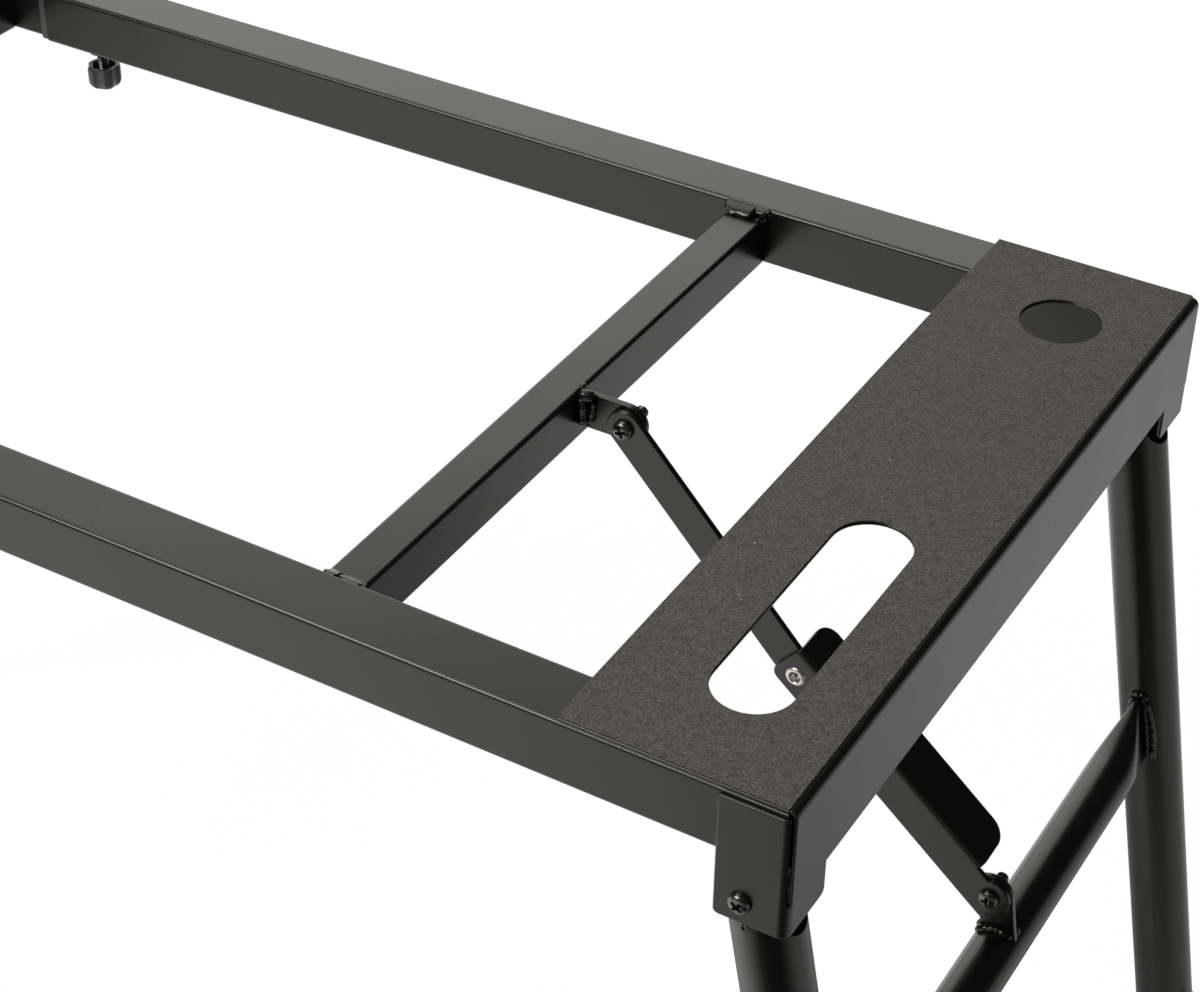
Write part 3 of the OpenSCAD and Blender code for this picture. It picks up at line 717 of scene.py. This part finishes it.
def knob():
    """A fluted knob below Z = 0 with a recess for its screw."""
    radius, height, dish = 9.25, 13.0, 6.4
    profile = [(0, -height), (3.4, -height), (4.4, -height + 0.35), (5.4, -height + 0.2),
               (6.7, -height + 0.55), (7.9, -height + 1.4), (8.8, -height + 2.7), (radius, -height + 4.4),
               (radius, -1.1), (radius - 0.35, -0.3), (radius - 1.1, 0), (dish + 0.4, 0), (dish, -0.4),
               (dish, -WELL + 0.5), (dish - 0.5, -WELL), (4.4, -WELL), (4.3, -WELL + 1.5), (3.1, -WELL + 1.5),
               (0, -WELL + 1.5)]
    rings = []
    for r, z in profile:
        share = max(0.0, min(1.0, (r - 5.6) / 2.4)) if z < -0.15 else 0.0
        rings.append([polar(r - flute(a, radius) * share, a, z) for a in angles(120)])
    return grid(rings)


def flute(a, radius):
    """How far a flute draws a knob's side in at an angle."""
    pitch = 2 * math.pi / sizes().flutes
    off = (a + pitch / 2) % pitch - pitch / 2
    far, bite = 0.72 * 2 * radius, 0.3 * 2 * radius
    inside = bite ** 2 - (far * math.sin(off)) ** 2
    return max(0.0, radius - (far * math.cos(off) - math.sqrt(inside))) if inside > 0 else 0.0


def foot():
    """A rubber foot round the end of a leg, cut level just above the floor."""
    top, ribs, rib_pitch, floor_gap = -622.2, 4, 4.2, 0.01
    outline = [(0, top - 3), (12.85, top - 3), (12.85, top), (13.9, top - 0.1), (14.9, top - 0.8),
               (15.35, top - 2.0)]
    for k in range(ribs):
        z = top - 5.0 - rib_pitch * k
        outline += [(15.4, z), (15.3, z - 0.5), (14.6, z - 0.9), (14.6, z - 1.7), (15.3, z - 2.1),
                    (15.4, z - 2.6)]
    outline += [(15.45, top - 24), (15.45, top - 42), (0, top - 42)]
    bm = turned(outline, 72)
    bm.transform(LEG @ moved(0, -LEG_Y, 0))
    level = -TOP / MM + floor_gap
    cut = bmesh.ops.bisect_plane(bm, geom=bm.verts[:] + bm.edges[:] + bm.faces[:],
                                 plane_co=(0, 0, level), plane_no=(0, 0, -1), clear_outer=True)
    rim = [e for e in cut["geom_cut"] if isinstance(e, bmesh.types.BMEdge)]
    bmesh.ops.holes_fill(bm, edges=rim)
    bmesh.ops.bevel(bm, geom=[e for e in rim if e.is_valid], offset=0.7, segments=3, profile=0.5,
                    affect="EDGES")
    return bm


# Welds, in millimetres

WELD_SEEDS = {"right": (11, 71), "left": (47, 93)}      # of the frame's and of the leg frame's beads


def smooth_path(points, step):
    """Points at most a step apart on a smooth curve through the points given."""
    knots = [Vector(p) for p in points]
    knots = [2 * knots[0] - knots[1]] + knots + [2 * knots[-1] - knots[-2]]
    path = []
    for a, b, c, d in zip(knots, knots[1:], knots[2:], knots[3:]):
        count = max(2, math.ceil((c - b).length / step))
        for i in range(count):
            t = i / count
            path.append(0.5 * (2 * b + (c - a) * t + (2 * a - 5 * b + 4 * c - d) * t * t
                               + (3 * b - a - 3 * c + d) * t ** 3))
    return path + [knots[-2]]


def round_end(share, least):
    """How wide a round end is at a share of its length."""
    return math.sqrt(max(least, 1 - (1 - min(1.0, share)) ** 2))


def bead(points, radius, seed, ripple=0.08):
    """A weld bead along a path: it swells and wanders smoothly, and its ends are round."""
    draw = random.Random(seed)
    step, sides, wander_lag = 0.4, 16, 1.9
    swells = [(radius * span * draw.uniform(0.8, 1.25), draw.uniform(0, 2 * math.pi), share)
              for span, share in ((3.0, 0.55), (1.7, 0.3), (0.9, 0.15))]
    path = smooth_path(points, step)
    run, rings = 0.0, []
    askew = Vector((0.31, 0.44, 0.84))
    for i, here in enumerate(path):
        ahead = path[min(i + 1, len(path) - 1)] - path[max(i - 1, 0)]
        run += (here - path[i - 1]).length if i else 0.0
        swell, wander = (sum(share * math.sin(2 * math.pi * run / span + phase + lag)
                             for span, phase, share in swells) for lag in (0.0, wander_lag))
        to_end = min(i, len(path) - 1 - i) * step
        size = radius * (1 + ripple * swell) * round_end(to_end / (radius * 1.1), 0.02)
        u = ahead.cross(askew).normalized()
        v = ahead.cross(u).normalized()
        centre = here + u * radius * ripple * wander
        rings.append([centre + size * (u * math.cos(a) + v * math.sin(a)) for a in angles(sides)])
    return grid(rings)


def fillet(start, stop, y, crest, rise, side, seed):
    """A smooth filled weld along x: it covers a rail's upper edge and slopes down to the crossbar's top."""
    draw = random.Random(seed)
    phases = [draw.uniform(0, 2 * math.pi) for _ in range(3)]
    full_rise, end_length, step, swell = 5.0, 2.4, 0.45, 0.05
    slope = [(-1.6, -0.5), (-0.9, 0.1), (0.1, 0.08), (1.3, -0.35), (2.7, -1.1), (4.1, -2.0), (5.1, -2.8),
             (5.7, -3.7), (5.8, -4.6), (5.4, -5.4)]
    outline = [(p.x, p.y) for p in smooth_path([(out, up, 0) for out, up in slope], 0.5)]
    outline += [(3.6, -5.8), (1.6, -5.9), (-0.6, -4.0)]
    reach = rise / full_rise
    count = max(8, round((stop - start) / step))
    rings = []
    for i in range(count + 1):
        x = start + (stop - start) * i / count
        size = round_end(min(x - start, stop - x) / end_length, 0.03) * reach
        size *= 1 + swell * sum(math.sin(x * turns + phase) for turns, phase in zip((0.35, 0.6, 1.0), phases))
        cover = min(1.0, size / reach)
        rings.append([(x, side * (y - max(out, 0) * size - min(out, 0) * cover),
                       crest + (up * size if up < 0 else up * cover)) for out, up in outline])
    return grid(rings)


def arc(centre, radius, start, stop):
    """Points on an arc about Z, from angle to angle in degrees."""
    steps = 8
    turns = [math.radians(start + (stop - start) * i / steps) for i in range(steps + 1)]
    return [(centre[0] + radius * math.cos(a), centre[1] + radius * math.sin(a), centre[2]) for a in turns]


def frame_welds(end):
    """The beads on the crossbar, the bracket and the pivot lugs of an end, and at the right on the weld nuts,
    at the left on the short rails' ends."""
    radius = sizes().bead / MM
    step, seed = BAR_STEP[end], WELD_SEEDS[end][0]
    y, top, depth = 170 + step, -7.7 + step, 25
    low = top - depth
    beads = joint_beads(y, top, 5.0 - 2 * step, seed)
    for k, flip in enumerate((HERE, FLIP)):
        under = [(-225.9, -y + 0.6, low + 0.2), (-217.5, -y + 0.9, low + 0.1), (-208.5, -y + 0.6, low + 0.2)]
        beads.append((bead(under, radius * 0.6, seed + 2 + k), flip))
        for j, x in enumerate((-34.0, -5.0)):
            run = [(x + 0.4, -169.2, -30.5), (x, -168.9, -22), (x + 0.4, -169.2, -13.5)]
            beads.append((bead(run, radius * 0.75, seed + 4 + 2 * k + j), flip))
    beads += bracket_beads(radius, seed)
    if end == "right":
        beads += [(bead(arc((CLAMP_X, m * LEG_Y, -33.1), 6.9, a, a + 60), radius * 0.5, seed + 30 + i), HERE)
                  for m in (-1, 1) for i, a in enumerate((10, 130, 250))]
    else:
        beads += [(bead(sleeve(m), radius * 0.32, seed + 40 + m), HERE) for m in (-1, 1)]
    piece(f"frame_welds_{end}", joined(*beads), place(end), frame_body(end), finishes()["weld_coat"],
          crease=WELD_CREASE)


def joint_beads(y, top, rise, seed):
    """The full fillets from the crossbar's top up over the rails' edges, with pits and drops beside them."""
    crest = top + rise
    start = -228.9 if rise > 3 else -227.3
    rim = [(-211.4, y - 4.6, top + 0.1), (-209.4, y - 4.0, top + 0.3), (-207.6, y - 2.2, top - 0.1),
           (-206.6, y - 0.4, top + 0.4)]
    drops = [(-207.9, y - 0.4, crest - 1.3), (-206.2, y - 0.3, crest - 1.5), (-204.4, y - 0.1, crest - 1.6)]
    welds = [fillet(start, -212.6, y, crest, rise, 1, seed + 50),
             fillet(-213.4, -206.4, y, crest, rise * 0.45, 1, seed + 51),
             bead(rim, 1.0, seed + 52, 0.3), bead(drops, 1.2, seed + 53, 0.35),
             fillet(-224.6, -218.3, y, crest, rise, -1, seed + 54),
             fillet(-217.2, -206.8, y, crest, rise, -1, seed + 55)]
    return [(weld, HERE) for weld in welds]


def bracket_beads(radius, seed):
    """The lumpy beads at the root of the crossbar bracket."""
    crown = [(-206.4, -5.6, -8.4), (-204.2, -5.4, -7.8), (-201.6, -4.8, -7.9), (-199.6, -4.0, -8.8)]
    front = [(-205.2, -5.1, -9.5), (-204.9, -5.3, -14), (-205.2, -5.0, -19), (-204.9, -4.8, -24.5)]
    outer = [(-200.8, -4.0, -9.8), (-200.3, -3.8, -13.5), (-201.0, -4.0, -18), (-201.6, -3.7, -22.5)]
    rear = [(-206.2, 0.6, -8.2), (-206.4, 1.0, -16), (-206.2, 0.8, -25)]
    over = [(-206.9, -3.2, -7.5), (-207.1, -1.5, -6.9), (-206.9, 1.0, -7.6)]
    beads = ((crown, 1.35, 0.04), (front, 1.1, 0.15), (outer, 0.66, 0.22), (rear, 0.8, 0.12),
             (over, 0.7, 0.12))
    return [(bead(path, radius * share, seed + 20 + k, ripple), HERE)
            for k, (path, share, ripple) in enumerate(beads)]


def sleeve(side):
    """The seam over the top and down the outside where a short rail ends on its slide tube."""
    x, y = -207.6, side * LEG_Y
    return [(x, y - side * 12.5, -3.9), (x, y + side * 6, -3.8), (x, y + side * 12.6, -4.4),
            (x, y + side * 13.9, -8), (x, y + side * 13.9, -29)]


def leg_welds(end):
    """The beads round the pressed ends of the cross tube and at the foot of its bracket, and at the right the
    small ring on the front leg below its hinge."""
    radius = sizes().bead / MM
    seed = WELD_SEEDS[end][1]
    beads = []
    for k, flip in enumerate((HERE, FLIP)):
        for j, m in enumerate((-1, 1)):
            run = [(TUBE_X + m * out, y, z) for out, y, z in (
                (2.2, -169.8, -164.0), (4.4, -170.3, -169), (5.6, -170.7, -177), (6.2, -170.9, -187),
                (5.6, -170.7, -200.5))]
            beads.append((bead(run, radius * 0.74, seed + 2 * k + j, 0.13), flip))
            inner = [(TUBE_X + m * out, y, z) for out, y, z in (
                (2.6, -169.7, -167), (3.2, -169.8, -182), (3.0, -169.7, -199))]
            beads.append((bead(inner, radius * 0.62, seed + 14 + 2 * k + j, 0.1), flip))
        tip = [(-3.6, -169.9, -163.4), (-1.6, -169.5, -161.7), (TUBE_X, -169.4, -161.6),
               (3.4, -169.6, -162.0), (5.6, -170.2, -164.2)]
        beads.append((bead(tip, radius * 0.62, seed + 5 + k, 0.2), flip))
    for j, (y, start, stop) in enumerate(((-7.4, 132, 48), (-2.2, 140, 40))):
        run = [(x, y, z) for x, z, _ in arc((TUBE_X, TUBE_Z, 0), 12.9, start, stop)]
        beads.append((bead(run, radius * 0.95, seed + 8 + j, 0.12), HERE))
    if end == "right":
        ring = [(-1.1 + 1.5 * math.cos(a), -199.72, -14.4 + 1.5 * math.sin(a)) for a in angles(14)]
        beads.append((bead(ring + ring[:1], 0.42, seed + 12, 0.1), HERE))
    piece(f"leg_welds_{end}", joined(*beads), place(end) @ LEG, f"leg_frame_{end}", finishes()["weld_coat"],
          crease=WELD_CREASE)


# Stage, in metres

def soft_box(name, direction, distance, size, bright):
    """A square lamp that is seen from the end plate in this direction. Where bright is 1, it looks white."""
    watts_per_area = 4
    target = Vector((0.25, 0, 0.6))
    data = bpy.data.lights.new(name, "AREA")
    data.shape = "SQUARE"
    data.size = size
    data.energy = bright * watts_per_area * size * size
    lamp = bpy.data.objects.new(name, data)
    bpy.context.scene.collection.objects.link(lamp)
    lamp.location = target + Vector(direction).normalized() * distance
    lamp.rotation_euler = (target - lamp.location).to_track_quat("-Z", "Y").to_euler()


def floor_finish(colour):
    """A pale floor. The camera sees white paper with a faint shadow. The gloss sees a painted reflection: the
    paper glows darker towards the front right and far off, and painted shade darkens it under the stand."""
    front_right, under_stand = (1.12, -1.3, 0), (0.3, 0.2, 0)
    shadow = 0.12       # how much of the lit paper, and so of the shadow, the camera sees
    made = Finish("floor")
    spot = made.node("ShaderNodeNewGeometry", output="Position")
    # painted reflection: in the gloss the paper glows darker towards the front right and far off
    near = made.fade(made.distance(spot, front_right), 0.6, 1.4, 0.0, 1.27)
    right = made.fade(made.node("ShaderNodeSeparateXYZ", None, {0: spot}, "X"), 0.15, 0.9, 1.0, 0.47)
    away = made.distance(spot, under_stand)
    # painted shade: in the gloss the paper glows darker under the stand, where the stand's shadow falls
    shade = made.fade(away, 0.2, 0.7, 0.3, 1.0)
    far = made.fade(away, 2.2, 4.5, 1.0, 0.85)
    seen = made.ray("Camera") + made.ray("Transmission")
    glossy = made.ray("Glossy")
    glow = made.node("ShaderNodeEmission", None,
                     {"Strength": seen * (far * -0.6 + 1.65) + glossy * near * right * shade * far})
    paper = made.node("ShaderNodeBsdfDiffuse", None, {"Color": (*colour, 1.0)})
    both = made.node("ShaderNodeMixShader", None, {0: seen * (1 - shadow) + glossy, 1: paper, 2: glow})
    made.node("ShaderNodeOutputMaterial", None, {"Surface": both})
    return made.material


def studio_world():
    """White to the camera and through glass, dim in the gloss and soft grey on what it lights."""
    world = bpy.data.worlds.new("studio")
    world.use_nodes = True
    made = Finish("studio", world.node_tree)
    white, dim, grey = 1.0, 0.032, 0.24     # strengths seen, in the gloss and on what it lights
    seen = made.ray("Camera") + made.ray("Transmission")
    strength = dim + seen * (white - dim) + made.ray("Diffuse") * (grey - dim)
    sky = made.node("ShaderNodeBackground", None, {"Color": (1.0, 1.0, 1.0, 1.0), "Strength": strength})
    made.node("ShaderNodeOutputWorld", None, {"Surface": sky})
    return world


def build_stage():
    """The floor, the world, the lamps and the camera."""
    stage = bpy.context.scene.stand_stage
    reach, level = 40.0, -0.0002
    corners = ((-reach, -reach), (reach, -reach), (reach, reach), (-reach, reach))
    mesh = bpy.data.meshes.new("floor")
    mesh.from_pydata([(x, y, level) for x, y in corners], [], [(0, 1, 2, 3)])
    mesh.materials.append(floor_finish(stage.floor))
    floor = bpy.data.objects.new("floor", mesh)
    bpy.context.scene.collection.objects.link(floor)
    bpy.context.scene.world = studio_world()
    soft_box("soft_box_back", (-0.48, 0.78, 0.37), 3.2, 2.6, stage.back_light)
    soft_box("soft_box_side", (-0.41, -0.59, 0.70), 3.0, 1.35, stage.side_light)
    soft_box("soft_box_top", (-0.41, 0.14, 0.91), 3.3, 1.7, stage.top_light)
    data = bpy.data.cameras.new("camera")
    data.sensor_fit = "HORIZONTAL"
    data.sensor_width = 36.0
    data.lens = stage.lens
    camera = bpy.data.objects.new("camera", data)
    bpy.context.scene.collection.objects.link(camera)
    camera.location = stage.camera
    camera.rotation_euler = stage.turn
    bpy.context.scene.camera = camera
    bpy.context.scene.view_settings.view_transform = "Standard"


# Operators

class BuildStage(bpy.types.Operator):
    """Makes the floor, the light and the camera"""
    bl_idname = "stand.build_stage"
    bl_label = "Stage"

    def execute(self, context):
        build_stage()
        return {"FINISHED"}


class BuildSheets(bpy.types.Operator):
    """Coats the end plates, brackets and brace links, and puts grit on the grip sheets"""
    bl_idname = "stand.build_sheets"
    bl_label = "Sheet steel"

    def execute(self, context):
        for end in ENDS:
            sheet_steel(end)
            softened(f"grip_sheet_{end}", finishes()["grip_grit"], sizes().grip_edge)
        return {"FINISHED"}


class BuildTubes(bpy.types.Operator):
    """Coats the rails, crossbars and legs"""
    bl_idname = "stand.build_tubes"
    bl_label = "Tubes"

    def execute(self, context):
        tubes()
        return {"FINISHED"}


class BuildScrews(bpy.types.Operator):
    """Makes the screws, nuts and rivets, and coats the weld nuts"""
    bl_idname = "stand.build_screws"
    bl_label = "Screws"

    def execute(self, context):
        for end in ENDS:
            end_screws(end)
        dress("weld_nuts", finishes()["satin_coat"])
        return {"FINISHED"}


class BuildMouldings(bpy.types.Operator):
    """Makes the knobs, collars and feet"""
    bl_idname = "stand.build_mouldings"
    bl_label = "Knobs and feet"

    def execute(self, context):
        mouldings()
        return {"FINISHED"}


class BuildWelds(bpy.types.Operator):
    """Lays the weld beads"""
    bl_idname = "stand.build_welds"
    bl_label = "Welds"

    def execute(self, context):
        for end in ENDS:
            frame_welds(end)
            leg_welds(end)
        return {"FINISHED"}


class StandPanel(bpy.types.Panel):
    """Builds the stand and sets its sizes and finishes"""
    bl_idname = "VIEW3D_PT_stand"
    bl_label = "Keyboard stand"
    bl_space_type = "VIEW_3D"
    bl_region_type = "UI"
    bl_category = "Stand"

    def draw(self, context):
        scene = context.scene
        for group in (scene.stand_sizes, scene.stand_finishes, scene.stand_stage):
            box = self.layout.box()
            for name in group.__annotations__:
                box.prop(group, name)
        for operator in OPERATORS:
            self.layout.operator(operator.bl_idname)


OPERATORS = (BuildStage, BuildSheets, BuildTubes, BuildScrews, BuildMouldings, BuildWelds)
GROUPS = {"stand_sizes": StandSizes, "stand_finishes": StandFinishes, "stand_stage": StandStage}


def register():
    for made in (*GROUPS.values(), *OPERATORS, StandPanel):
        bpy.utils.register_class(made)
    for name, group in GROUPS.items():
        setattr(bpy.types.Scene, name, PointerProperty(type=group))


def unregister():
    for name in GROUPS:
        delattr(bpy.types.Scene, name)
    for made in reversed((*GROUPS.values(), *OPERATORS, StandPanel)):
        bpy.utils.unregister_class(made)


def main():
    """Builds everything."""
    register()
    bpy.ops.stand.build_stage()
    bpy.ops.stand.build_sheets()
    bpy.ops.stand.build_tubes()
    bpy.ops.stand.build_screws()
    bpy.ops.stand.build_mouldings()
    bpy.ops.stand.build_welds()


if __name__ == "__main__":
    main()
